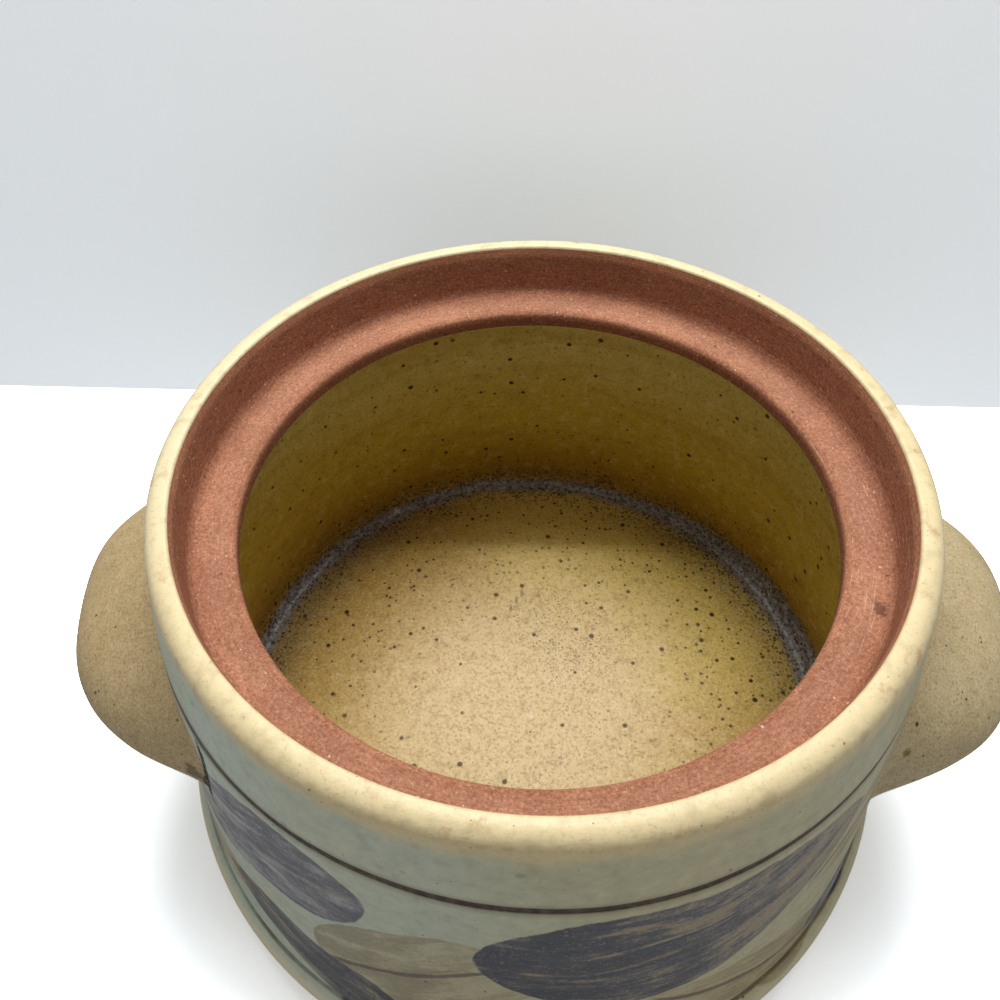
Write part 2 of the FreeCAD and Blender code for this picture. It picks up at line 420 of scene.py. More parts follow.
# the oatmeal glaze outside and its banding lines, with places and heights in mm
# a fade goes from its first number to its second, and then from its third to its fourth in strength
# noise is given as clouds to a mm, detail and roughness, and specks as mm apart, largest mm, share, seed
outsideGlaze = {
    "lip": "#e6ce99", "crown": "#efe1b8", "left": "#c7d1bd", "right": "#c6bd92", "fleck": "#8f8460",
    "iron": "#3c2c1a", "line": "#3a2415", "bleed": "#7a5a3e", "toast": "#b27a4c", "bare": "#b98a68",
    "creaseShade": "#17100a",
    "cloud": (0.022, 3, 0.55), "mottle": (0.25, 4, 0.7), "sand": (1.0, 4, 0.75), "skin": (0.45, 2, 0.5),
    "mottled": (("crown", 0.5, 0.7, 0.3), ("fleck", 0.5, 0.3, 0.3)),
    "sandy": (("fleck", 0.52, 0.72, 0.38), ("crown", 0.46, 0.28, 0.3)),
    "warmHeading": 0.2, "warmFade": (-0.9, 0.1, 0, 1), "cloudSwing": 0.4,
    "lipFade": (126.5, 131.5), "lipNoise": (0.09, 2, 0.5), "lipSway": 2.0,
    "lipDropLeft": (-0.3, -0.8, 0.0, -1.5),
    "crownFade": (132.0, 134.4), "highlightHeading": 2.2, "highlightFade": (-0.1, 0.75, 0.35, 0.8),
    "rubFade": (131.0, 133.0), "rubNoise": (0.16, 4, 0.7), "rubWear": (0.55, 0.75), "rubShare": 0.5,
    "ironFine": (2.4, 0.3, 0.4, 5), "ironBold": (7.0, 0.6, 0.4, 11), "blotches": (9.5, 1.4, 0.4, 23),
    "ironShare": 0.7, "blotchShare": 0.3, "chipAt": (25.5, -85.8, 134.0), "chipSize": 1.3, "chipShare": 0.7,
    "lineUp": 0.9, "lineFade": (1.75, 1.0), "bleedFade": (3.4, 1.2, 0, 0.4), "lineNoise": (0.05, 2),
    "lineSway": 0.3, "wearNoise": (0.5, 3, 0.6), "lineWear": (0.3, 0.75, 0.97, 0.78),
    "leftFade": (-0.55, -0.8), "leftBroader": 0.8, "leftThinner": 0.2,
    "baseLineFade": (0.7, 0.3), "baseLineWear": (0.3, 0.6, 0.15, 0.8),
    "rollFade": (21.0, 18.0), "rollLightShare": (-0.8, 0.2, 0.85, 0.45),
    "toastFade": (8.0, 5.6), "bareFade": (5.4, 4.9), "footNoise": (0.08, 3), "footSway": 1.2,
    "roughness": 0.42, "sandRough": (0.3, 0.7, -0.06, 0.08), "bareRough": 0.85, "lineRough": 0.8,
    "sandHeight": 0.18, "depth": 0.16,
}
# a border of broad brushed leaves: each wash from where it is thick to where it is thin, how well it
# covers there, and how dark the leaf's rib is
leafBorder = {
    "repeats": 2, "radius": 105.5, "stem": "#5f463a", "poolShare": 0.55, "sway": 8.0, "swaySize": 0.02,
    "below": (0.4, 1.2),  # mm under the shoulder line
}
washes = {
    "tan": {"ink": ("#8b744b", "#a9915f", "#c2b081"), "cover": (0.7, 0.5), "rib": 0.8},
    "violet": {"ink": ("#55535f", "#85828a", "#b8b3a8"), "cover": (0.95, 0.75), "rib": 0.45},
    "indigo": {"ink": ("#20273f", "#474552", "#94795c"), "cover": (0.95, 0.75), "rib": 0.45},
}
# degrees round the pot, height, lean in degrees, half length, half width, bend in mm, wash
leaves = (
    (228, 84, 206, 38, 19.0, 5.0, "violet"),
    (258, 70, 28, 37, 21.0, -5.0, "tan"),
    (290, 84, 10, 50, 26.0, 5.0, "indigo"),
    (324, 86, 200, 34, 18.0, 4.0, "tan"),
    (213, 40, 20, 34, 13.0, -4.0, "tan"),
    (240, 38, 158, 36, 13.5, 4.0, "indigo"),
    (274, 36, 196, 34, 13.0, 4.0, "violet"),
    (302, 38, 158, 35, 13.5, -4.0, "tan"),
    (334, 42, 22, 38, 14.0, 4.0, "violet"),
)


def paintLeaves(w, colour, place, z, angle):
    # brushed leaves in repeats round the wall, drawn on (u, v) millimetres, the palest wash first
    stem = paint(leafBorder["stem"])
    sway = leafBorder["sway"]
    repeat = turn * leafBorder["radius"] / leafBorder["repeats"]
    u = w.times(angle, leafBorder["radius"])
    u = w.plus(u, w.spread(w.grain(place, leafBorder["swaySize"], 1), sway))
    u = w.sum("FLOORED_MODULO", u, repeat)
    v = w.plus(z, w.spread(w.grain(w.shift(place, 50, 0, 0), leafBorder["swaySize"], 1), sway))
    mark = brushMark()
    painted = w.ramp(z, *(lineZ - drop for drop in leafBorder["below"]))
    for wash, dye in washes.items():
        thick, middle, thin = (paint(code) for code in dye["ink"])
        for i, (degrees, centreV, lean, length, width, bend, kind) in enumerate(leaves):
            if kind != wash:
                continue
            centreU = math.radians(degrees) * leafBorder["radius"] % repeat
            nearU = w.sum("WRAP", w.minus(u, centreU), repeat / 2, -repeat / 2)
            plugs = {"u": nearU, "v": v, "centreV": centreV, "angle": math.radians(lean),
                     "halfLength": length, "halfWidth": width, "bend": bend, "seed": 3.7 * i}
            stroke = w.add("ShaderNodeGroup", plugs, out=None, node_tree=mark).outputs
            ink = w.blend(w.ramp(stroke["streak"], 0.0, 0.5, soft=False), thick, middle)
            ink = w.blend(w.ramp(stroke["streak"], 0.5, 1.0, soft=False), ink, thin)
            ink = w.blend(w.times(stroke["rim"], leafBorder["poolShare"]), ink, thick)
            cover = w.ramp(stroke["streak"], 0.3, 1.0, *dye["cover"])
            colour = w.blend(w.times(stroke["mask"], cover, painted), colour, ink)
            colour = w.blend(w.times(stroke["rib"], dye["rib"], painted), colour, stem)
    return colour


def makeOutsideGlaze():
    material, w = newMaterial("oatmealGlaze")
    glaze, look = outsideGlaze, paints(outsideGlaze)
    place, _, z, angle = potPlaces(w)
    rightward = w.sum("COSINE", angle)

    # ground colour: greyer to the left, warmer to the right, cream where it thins over the lip
    cloud = w.grain(place, *glaze["cloud"])
    warm = w.ramp(facing(w, angle, glaze["warmHeading"]), *glaze["warmFade"], soft=False)
    warm = w.plus(warm, w.spread(cloud, glaze["cloudSwing"]))
    colour = w.blend(w.ramp(warm, 0, 1), look["left"], look["right"])
    lipEdge = w.plus(z, w.spread(w.grain(place, *glaze["lipNoise"]), glaze["lipSway"]))
    lipEdge = w.plus(lipEdge, w.ramp(rightward, *glaze["lipDropLeft"]))
    colour = w.blend(w.ramp(lipEdge, *glaze["lipFade"]), colour, look["lip"])
    # painted highlight: the top of the lip is painted paler, most of all at the back left
    paintedHighlight = w.ramp(facing(w, angle, glaze["highlightHeading"]), *glaze["highlightFade"])
    colour = w.blend(w.times(w.ramp(z, *glaze["crownFade"]), paintedHighlight), colour, look["crown"])
    mottle = w.grain(place, *glaze["mottle"])
    colour = layered(w, colour, mottle, look, glaze["mottled"])
    rub = w.times(w.ramp(z, *glaze["rubFade"]),
                  w.ramp(w.grain(place, *glaze["rubNoise"]), *glaze["rubWear"]))
    colour = w.blend(w.times(rub, glaze["rubShare"]), colour, look["toast"])
    colour = paintLeaves(w, colour, place, z, angle)

    # sandy grain over the washes, iron specks, a chip on the lip and painted shade in the crease at the
    # left lug
    sand = w.grain(place, *glaze["sand"])
    colour = layered(w, colour, sand, look, glaze["sandy"])
    creaseShade = creaseShadeMark(w, place)
    iron = w.most(w.specks(place, *glaze["ironFine"]), w.specks(place, *glaze["ironBold"]))
    colour = marked(w, colour, look, (
        (iron, glaze["ironShare"], "iron"),
        (w.specks(place, *glaze["blotches"]), glaze["blotchShare"], "iron"),
        (w.blot(place, glaze["chipAt"], glaze["chipSize"]), glaze["chipShare"], "iron"),
    ))
    # painted shade in the crease beside the left lug's front tip
    colour = w.blend(creaseShade, colour, look["creaseShade"])

    # two banding lines, the upper one broader and thinner to the left
    sway = w.spread(w.grain(place, *glaze["lineNoise"]), glaze["lineSway"])
    lineGap = w.sum("ABSOLUTE", w.plus(w.minus(z, lineZ + glaze["lineUp"]), sway))
    baseGap = w.sum("ABSOLUTE", w.plus(w.minus(z, wallShape["rollTop"]), sway))
    baseLine = w.times(w.ramp(baseGap, *glaze["baseLineFade"]), w.ramp(cloud, *glaze["baseLineWear"]))
    leftward = w.ramp(rightward, *glaze["leftFade"])
    lineEdge = w.minus(lineGap, w.times(leftward, glaze["leftBroader"]))
    lines = w.most(w.ramp(lineEdge, *glaze["lineFade"]), baseLine)
    colour = w.blend(w.ramp(lineEdge, *glaze["bleedFade"]), colour, look["bleed"])
    worn = w.ramp(w.grain(place, *glaze["wearNoise"]), *glaze["lineWear"])
    worn = w.minus(worn, w.times(leftward, glaze["leftThinner"]))
    colour = w.blend(w.times(lines, worn), colour, look["line"])

    # painted light: the base roll is painted paler, most of all on the left; and the glaze stops short of
    # the foot with a toasted edge
    paintedRollLight = w.ramp(rightward, *glaze["rollLightShare"])
    colour = w.blend(w.times(w.ramp(z, *glaze["rollFade"]), paintedRollLight), colour, look["crown"])
    stop = w.plus(z, w.spread(w.grain(place, *glaze["footNoise"]), glaze["footSway"]))
    colour = w.blend(w.ramp(stop, *glaze["toastFade"]), colour, look["toast"])
    bare = w.ramp(stop, *glaze["bareFade"])
    colour = w.blend(bare, colour, look["bare"])

    skin = w.plus(w.grain(place, *glaze["skin"]), w.times(sand, glaze["sandHeight"]))
    rough = w.plus(w.ramp(sand, *glaze["sandRough"]), glaze["roughness"])
    dry = w.most(w.times(bare, glaze["bareRough"]), w.times(lines, glaze["lineRough"]), creaseShade)
    finishMaterial(w, colour, w.most(rough, dry), skin, glaze["depth"])
    return material


# the same glaze inside: mustard up the wall, sandy on the floor, with measures as for the outside
insideGlaze = {
    "wallTop": "#c2b767", "wall": "#bba428", "wallLow": "#a7860a", "halo": "#7d5220",
    "floor": "#e2c691", "floorEdge": "#c4a04a", "floorLitEdge": "#e2c662", "floorPale": "#f0deb8",
    "grit": "#7a6334", "pool": "#53545a", "poolPale": "#a3a5ad", "glint": "#d5d8de",
    "speck": "#371800", "rust": "#4f2c10",
    "cloud": (0.03, 3, 0.6), "mottle": (0.22, 4, 0.7), "sand": (1.0, 4, 0.78), "skin": (0.5, 2, 0.5),
    "mottled": (("halo", 0.5, 0.7, 0.3), ("floorPale", 0.48, 0.3, 0.25)),
    "darkSand": (0.5, 0.68), "darkSandUp": (12, 30, 0.65, 0.55),
    "paleSand": (0.46, 0.3), "paleSandUp": (12, 30, 0.6, 0.2),
    "wallFade": (20, 55), "wallTopFade": (55, 98), "wallSway": 14,
    "haloFade": (26, 10), "haloHeading": 2.1, "haloShare": (-0.1, 0.7, 0.15, 0.55),
    "bandPace": (0.8, 0, 0.13), "bands": (("wallLow", 0.48, 0.66, 0.4),),
    "floorFade": (24, 84), "floorSway": 12, "floorTop": (9.6, 11.0),
    "litEdgeHeading": 0.9, "litEdgeFade": (0.4, 0.85),
    "roughness": (0.3, 0.7, 0.46, 0.6), "sandHeight": 0.3, "depth": 0.16,
}
# dark specks thrown out of the clay, and the few marks that have a place of their own
insideMarks = {
    "fine": (1.05, 0.4, 0.8, 7), "medium": (2.6, 0.76, 0.6, 13), "bold": (5.2, 1.15, 0.5, 29),
    "fineShare": 0.8, "mediumShare": 0.95, "boldLeast": 0.85, "share": 0.97,
    "outward": (35, 80, 0.3, 1.0), "upward": (14, 40, 1.0, 0.45), "fineUpward": (26, 12, 0.3, 1.0),
    "patchAt": (12.0, 26.0), "patchFade": (32, 10), "patchNoise": (0.08, 3, 0.6), "patchSway": 16,
    "cornerFade": (80, 98), "crowding": (0.05, 0.95),
    "rust": (2.4, 0.75, 0.7, 41), "rustFade": (38, 12), "rustShare": (10.5, 12.5, 0, 0.85),
    "hairs": ((-7.6, 38.0), (-5.5, 41.5), (-3.4, 45.0)), "hairSize": 0.85, "hairShare": 0.5,
    "creaseAt": (96.2, 32.9, 33.8), "creaseSize": 1.6, "creaseShare": 0.4,
    "paleSpotAt": (-0.1, -7.0), "paleSpotSize": 1.8, "paleSpotShare": 0.6, "dryness": 0.9,
}
# glaze that ran down and pooled in the corner: radii and heights, and how the pool grows to the right
cornerPool = {
    "heading": 0.05, "broadFade": (0.45, 0.95), "rightWider": 1.8, "rightHigher": 4.0,
    "drift": 2.2, "driftNoise": (0.05, 3, 0.6), "toothNoise": (0.55, 5, 0.8), "upShare": 0.7,
    "frayed": (1.2, 2.4), "runPace": (34, 0.75, 0.75), "runFade": (0.38, 0.66), "milkyFade": (0.35, 0.65),
    "lineFrom": (95.6, 100.2), "lineTop": (13.2, 10.2), "lineShare": 0.88, "smoother": 0.22,
    "smearFrom": (77, 97), "smearTop": (14.0, 11.0), "smearTooth": 7.0, "smearShare": 0.7,
    "smearBack": (0.75, 1.0, 1.0, 0.15), "smearSand": (0.4, 0.58, 0.45, 1.0),
    "smearBroad": (0, 1, 1.0, 0.6), "fringeFrom": (86, 97), "fringeTop": (18.0, 12.5),
    "grains": (1.25, 0.72, 0.85, 61), "grainShare": 0.85,
    "glints": (2.2, 0.5, 0.3, 53), "glintShare": 0.6,
    "beadGlints": (((-57.4, 85.0, 9.5), 2.4), ((-4.7, 103.0, 9.5), 2.0)),
}


def makeInsideGlaze():
    material, w = newMaterial("mustardGlaze")
    glaze, marks, pool, look = insideGlaze, insideMarks, cornerPool, paints(insideGlaze)
    place, radius, z, angle = places = potPlaces(w)
    cloud = w.grain(place, *glaze["cloud"])
    sand = w.grain(place, *glaze["sand"])
    mottle = w.grain(place, *glaze["mottle"])

    # the wall in three tones with turned bands, and painted light on the floor's edge toward the back right
    high = w.plus(z, w.spread(cloud, glaze["wallSway"]))
    wall = w.blend(w.ramp(high, *glaze["wallFade"]), look["wallLow"], look["wall"])
    wall = w.blend(w.ramp(high, *glaze["wallTopFade"]), wall, look["wallTop"])
    burnt = w.ramp(facing(w, angle, glaze["haloHeading"]), *glaze["haloShare"])
    wall = w.blend(w.times(w.ramp(high, *glaze["haloFade"]), burnt), wall, look["halo"])
    wall = layered(w, wall, drawnOut(w, places, glaze["bandPace"], 2, 0.5), look, glaze["bands"])
    wide = w.plus(radius, w.spread(cloud, glaze["floorSway"]))
    # painted light: the floor's edge is painted paler toward the back right
    litEdge = w.ramp(facing(w, angle, glaze["litEdgeHeading"]), *glaze["litEdgeFade"])
    edge = w.blend(litEdge, look["floorEdge"], look["floorLitEdge"])
    floor = w.blend(w.ramp(wide, *glaze["floorFade"]), look["floor"], edge)
    colour = w.blend(w.ramp(z, *glaze["floorTop"]), floor, wall)
    colour = layered(w, colour, mottle, look, glaze["mottled"])
    colour = layered(w, colour, sand, look, (
        ("grit", *glaze["darkSand"], w.ramp(z, *glaze["darkSandUp"])),
        ("floorPale", *glaze["paleSand"], w.ramp(z, *glaze["paleSandUp"])),
    ))

    # dark specks, with fine grains thick at the middle of the floor and in its corner, and a hair mark
    patch = w.add("ShaderNodeVectorMath", (place, (*marks["patchAt"], floorZ)), out=1, operation="DISTANCE")
    patch = w.plus(patch, w.spread(w.grain(place, *marks["patchNoise"]), marks["patchSway"]))
    crowd = w.most(w.ramp(wide, *marks["cornerFade"]), w.ramp(patch, *marks["patchFade"], 0, 1.0))
    fine = w.times(w.specks(place, *marks["fine"]), w.ramp(crowd, 0, 1, *marks["crowding"], soft=False))
    fine = w.times(fine, w.ramp(z, *marks["fineUpward"]))
    outward = w.ramp(wide, *marks["outward"])
    upward = w.ramp(z, *marks["upward"])  # fewer show up the wall
    medium = w.times(w.specks(place, *marks["medium"]), w.times(outward, upward))
    bold = w.times(w.specks(place, *marks["bold"]), w.most(outward, marks["boldLeast"]))
    dark = w.most(w.times(medium, marks["mediumShare"]), bold)
    dark = w.most(w.times(fine, marks["fineShare"]), dark)
    for x, y in marks["hairs"]:
        hair = w.blot(place, (x, y, floorZ - 0.5), marks["hairSize"], (1, 0.34, 1))
        dark = w.most(dark, w.times(hair, marks["hairShare"]))
    rust = w.times(w.specks(place, *marks["rust"]), w.ramp(high, *marks["rustFade"]))
    colour = marked(w, colour, look, (
        (dark, marks["share"], "speck"),
        (rust, w.ramp(z, *marks["rustShare"]), "rust"),
    ))

    # the pool: a grey line drawn out round the pot, broad on the right, with a thin smear on the floor
    # inside it and dark grains along both its edges
    drift = w.spread(w.grain(place, *pool["driftNoise"]), pool["drift"])
    tooth = w.spread(w.grain(place, *pool["toothNoise"]), 1.0, 0.25, 0.75)
    run = drawnOut(w, places, pool["runPace"], 4, 0.75)
    broad = w.ramp(facing(w, angle, pool["heading"]), *pool["broadFade"])
    reach = w.plus(radius, drift, w.times(broad, pool["rightWider"]))
    low = w.plus(z, w.times(w.plus(drift, tooth), pool["upShare"]))
    low = w.minus(low, w.times(broad, pool["rightHigher"]))
    frayed = w.plus(reach, w.times(tooth, w.ramp(broad, 0, 1, *pool["frayed"], soft=False)))
    line = w.times(w.ramp(frayed, *pool["lineFrom"]), w.ramp(low, *pool["lineTop"]))
    smear = w.times(w.ramp(w.plus(reach, w.times(tooth, pool["smearTooth"])), *pool["smearFrom"]),
                    w.ramp(low, *pool["smearTop"]),
                    w.ramp(w.sum("SINE", angle), *pool["smearBack"]),
                    w.ramp(sand, *pool["smearSand"]),
                    w.ramp(broad, *pool["smearBroad"]))
    milky = w.blend(w.ramp(mottle, *pool["milkyFade"]), look["pool"], look["grit"])
    colour = w.blend(w.times(smear, pool["smearShare"]), colour, milky)
    grey = w.blend(w.ramp(run, *pool["runFade"]), look["pool"], look["poolPale"])
    colour = w.blend(w.times(line, pool["lineShare"]), colour, grey)
    fringe = w.times(w.ramp(frayed, *pool["fringeFrom"]), w.ramp(low, *pool["fringeTop"]))
    # painted highlights: glints along the pool's line and on two beads of glaze
    glints = w.times(w.specks(place, *pool["glints"]), line)
    beadGlints = w.most(*(w.blot(place, at, size, (0.6, 1, 1)) for at, size in pool["beadGlints"]))

    # with them painted shade along a faint crease in the wall, and a pale spot on the floor
    wallCreaseShade = w.blot(place, marks["creaseAt"], marks["creaseSize"], (1, 0.35, 0.6))
    paleSpot = w.blot(place, (*marks["paleSpotAt"], floorZ - 0.6), marks["paleSpotSize"])
    colour = marked(w, colour, look, (
        (w.times(w.specks(place, *pool["grains"]), fringe), pool["grainShare"], "speck"),
        (wallCreaseShade, marks["creaseShare"], "halo"),
        (w.most(glints, beadGlints), pool["glintShare"], "glint"),
        (paleSpot, marks["paleSpotShare"], "floorPale"),
    ))

    skin = w.plus(w.grain(place, *glaze["skin"]), w.times(sand, glaze["sandHeight"]))
    rough = w.minus(w.ramp(sand, *glaze["roughness"]), w.times(line, pool["smoother"]))
    rough = w.most(rough, w.times(dark, marks["dryness"]))
    finishMaterial(w, colour, rough, skin, glaze["depth"])
    return material


# unglazed red-brown clay: turning marks, grit and a few pale scratches, with measures as for the glaze
bareClay = {
    "face": "#c08463", "deep": "#986147", "grit": "#733f2b", "spark": "#f0cdb4", "scorch": "#4d2a20",
    "cloud": (0.05, 3, 0.6), "gritNoise": (1.3, 4, 0.82),
    "clouded": (("deep", 0.35, 0.65, 0.5),), "ringed": (("deep", 0.45, 0.75, 0.25),),
    "ringPace": (2.2, 0.02), "broadPace": (9, 0.5, 1), "thinPace": (26, 1.6, 1.6),
    "broadly": (("deep", 0.52, 0.7, 0.5),), "thinFade": (0.5, 0.68), "thinShare": (0.4, 0.8),
    "gritty": (("grit", 0.48, 0.64, 0.58), ("spark", 0.46, 0.3, 0.45)),
    "throatFrom": (87.0, 89.2), "throatDrop": (1.6, 3.4), "throatShadeShare": 0.5,
    "shadeUnderIn": (4, 2), "shadeUnderDrop": (1.3, 3.2), "shadeUnderShare": 0.75,
    "lipDrop": (2.6, 2.2), "lipShare": 0.12,
    "rubbedIn": (79.0, 82.0), "rubbedOut": (88.0, 84.0), "rubbedShare": 0.06,
    "scratchPace": (7, 2.6, 2.0), "scratchHeading": -0.25, "scratchSide": (0.75, 0.95),
    "scratchFade": (0.62, 0.72), "scratchShare": 0.45,
    "sparks": (2.4, 0.36, 0.35, 3), "scorches": (6.0, 0.6, 0.4, 17), "speckShare": 0.8,
    "smudgeAt": (80.2, -33.8), "smudgeSize": 2.2, "smudgeShare": 0.7,
    "roughness": (0.3, 0.7, 0.72, 0.9), "ringHeight": 0.8, "thinHeight": 0.6, "depth": 0.22, "gloss": 0.3,
}


def makeBareClay():
    material, w = newMaterial("bareClay")
    raw, look = bareClay, paints(bareClay)
    place, radius, z, angle = places = potPlaces(w)
    x, y, _ = w.part(place)
    fine, slow = raw["ringPace"]
    rings = w.join(w.times(radius, fine), w.times(z, fine), w.times(w.plus(x, y), slow))
    rings = w.grain(rings, 1.0, 3, 0.6)
    grit = w.grain(place, *raw["gritNoise"])
    colour = layered(w, look["face"], w.grain(place, *raw["cloud"]), look, raw["clouded"])
    colour = layered(w, colour, rings, look, raw["ringed"])

    # painted shade up the throat and on the ledge's inner face under its edge, with tool marks drawn out
    # round the pot, thickest in the throat
    # painted shade in the throat under the lip
    throat = w.times(w.ramp(radius, *raw["throatFrom"]),
                     w.ramp(z, *(glazeZ - drop for drop in raw["throatDrop"])))
    colour = w.blend(w.times(throat, raw["throatShadeShare"]), colour, look["deep"])
    colour = layered(w, colour, drawnOut(w, places, raw["broadPace"], 4, 0.75), look, raw["broadly"])
    thin = drawnOut(w, places, raw["thinPace"], 4, 0.78)
    thinShare = w.ramp(throat, 0, 1, *raw["thinShare"], soft=False)
    colour = layered(w, colour, thin, look, (("grit", *raw["thinFade"], thinShare),))
    # painted shade on the ledge's inner face, under its edge
    under = w.times(w.ramp(z, *(seatZ - drop for drop in raw["shadeUnderDrop"])),
                    w.ramp(radius, *(ledgeRadius + gap for gap in raw["shadeUnderIn"])))
    colour = w.blend(w.times(under, raw["shadeUnderShare"]), colour, look["grit"])

    # grit, pale sparks, painted light at the top of the throat, and the marks that a lid left
    colour = layered(w, colour, grit, look, raw["gritty"])
    # painted light: a faint lighter band at the top of the throat, just under the glaze
    paintedLipLight = w.ramp(z, *(glazeZ - drop for drop in raw["lipDrop"]))
    rubbed = w.times(w.ramp(radius, *raw["rubbedIn"]), w.ramp(radius, *raw["rubbedOut"]))
    scratched = w.times(w.ramp(drawnOut(w, places, raw["scratchPace"], 3, 0.6), *raw["scratchFade"]),
                        w.ramp(facing(w, angle, raw["scratchHeading"]), *raw["scratchSide"]))
    smudge = w.blot(place, (*raw["smudgeAt"], seatZ), raw["smudgeSize"], (1, 0.6, 1))
    colour = marked(w, colour, look, (
        (w.specks(place, *raw["sparks"]), raw["speckShare"], "spark"),
        (w.specks(place, *raw["scorches"]), raw["speckShare"], "scorch"),
        (paintedLipLight, raw["lipShare"], "face"),
        (rubbed, raw["rubbedShare"], "spark"),
        (scratched, raw["scratchShare"], "spark"),
        (smudge, raw["smudgeShare"], "scorch"),
    ))
    skin = w.plus(w.times(rings, raw["ringHeight"]), w.plus(grit, w.times(thin, raw["thinHeight"])))
    finishMaterial(w, colour, w.ramp(grit, *raw["roughness"]), skin, raw["depth"], gloss=raw["gloss"])
    return material


# dry tan glaze of the lugs, with a spot of moss green, a dark spot at the left lug's front tip and painted
# shade in the crease beside it, measures as for the glaze
lugGlaze = {
    "left": "#c9af80", "right": "#cdb98e", "grain": "#7f6840", "light": "#e6d4ab", "speck": "#2a1e10",
    "rim": "#a68c5c", "moss": "#776d10", "sideFade": (-60, 60),
    "cloud": (0.06, 3, 0.6), "mottle": (0.28, 4, 0.72), "grainNoise": (1.45, 4, 0.82), "skin": (0.5, 2),
    "clouded": (("rim", 0.35, 0.75, 0.35),),
    "mottled": (("grain", 0.48, 0.7, 0.2), ("light", 0.48, 0.3, 0.22)),
    "grained": (("grain", 0.49, 0.65, 0.6), ("light", 0.47, 0.3, 0.5)),
    "dotsFine": (2.8, 0.45, 0.35, 9), "dotsBold": (8.0, 0.8, 0.5, 31), "dotShare": 0.92,
    "darkTipAt": (-83.6, -63.2, 87.4), "darkTipSize": 3.6, "darkTipShare": 0.62,
    "mossAt": (86.5, -60.0, 97.4), "mossSize": 1.9, "mossShare": 0.9,
    "roughness": (0.3, 0.7, 0.6, 0.76), "grainHeight": 0.45, "depth": 0.2, "gloss": 0.35,
}


def makeLugGlaze():
    material, w = newMaterial("tanGlaze")
    glaze, look = lugGlaze, paints(lugGlaze)
    place = potPlaces(w)[0]
    grain = w.grain(place, *glaze["grainNoise"])
    colour = w.blend(w.ramp(w.part(place)[0], *glaze["sideFade"]), look["left"], look["right"])
    colour = layered(w, colour, w.grain(place, *glaze["cloud"]), look, glaze["clouded"])
    colour = layered(w, colour, w.grain(place, *glaze["mottle"]), look, glaze["mottled"])
    colour = layered(w, colour, grain, look, glaze["grained"])
    dots = w.most(w.specks(place, *glaze["dotsFine"]), w.specks(place, *glaze["dotsBold"]))
    colour = marked(w, colour, look, (
        (dots, glaze["dotShare"], "speck"),
        (w.blot(place, glaze["darkTipAt"], glaze["darkTipSize"]), glaze["darkTipShare"], "speck"),
        (w.blot(place, glaze["mossAt"], glaze["mossSize"]), glaze["mossShare"], "moss"),
    ))
    # painted shade of the same crease, carried onto the lug
    colour = w.blend(creaseShadeMark(w, place), colour, look["speck"])
    skin = w.plus(w.grain(place, *glaze["skin"]), w.times(grain, glaze["grainHeight"]))
    rough = w.ramp(grain, *glaze["roughness"])
    finishMaterial(w, colour, rough, skin, glaze["depth"], gloss=glaze["gloss"])
    return material


oatmeal, mustard, clay, tan = makeOutsideGlaze(), makeInsideGlaze(), makeBareClay(), makeLugGlaze()
print("glazes mixed")


def makeRim():
    lean = slope(rimShape["lean"])
    mouth = rimShape["throat"] + rimShape["ease"]
    dip, tall = wallShape["lineGroove"], wallShape["lineHeight"]
    return spin("rimBand", roundedLine([
        (liningRadius, lineZ),
        (lineRadius - dip, lineZ),
        (lineRadius - dip - 0.2 * tall * lean, lineZ + 0.6 * tall),
        (lineRadius - 1.4 * tall * lean, lineZ + 1.4 * tall),
        (lipRadius - rimShape["lipRound"] * lean, rimShape["height"], rimShape["lipRound"]),
        (mouth, rimShape["height"], rimShape["innerRound"]),
        (mouth, glazeZ),
        (liningRadius, glazeZ),
    ]), [oatmeal])


def makeSeat():
    return spin("lidSeat", roundedLine([
        (rimShape["throat"] + rimShape["ease"], glazeZ),
        (rimShape["throat"], glazeZ - seatShape["easeDepth"]),
        (rimShape["throat"], seatZ, seatShape["hollow"]),
        (ledgeRadius, seatZ, seatShape["edge"]),
        (ledgeRadius, seatZ - seatShape["thick"], seatShape["edge"]),
        (innerWall(haunchZ), haunchZ),
        (liningRadius, lineZ),
        (liningRadius, glazeZ),
    ]), [clay, mustard], lambda p: 1 if p.z < seatZ - seatShape["thick"] + seatShape["glazeOver"] else 0)


def bellyArc(r, z, steps=14):
    # from the widest circle of the base roll to this point
    inward, away = bellyRadius - r, z - wallShape["belly"]
    radius = (inward ** 2 + away ** 2) / (2 * inward)
    sweep = math.copysign(math.atan2(abs(away), radius - inward), away)
    return [Vector((bellyRadius - radius + radius * math.cos(sweep * k / steps),
                    wallShape["belly"] + radius * math.sin(sweep * k / steps))) for k in range(steps + 1)]


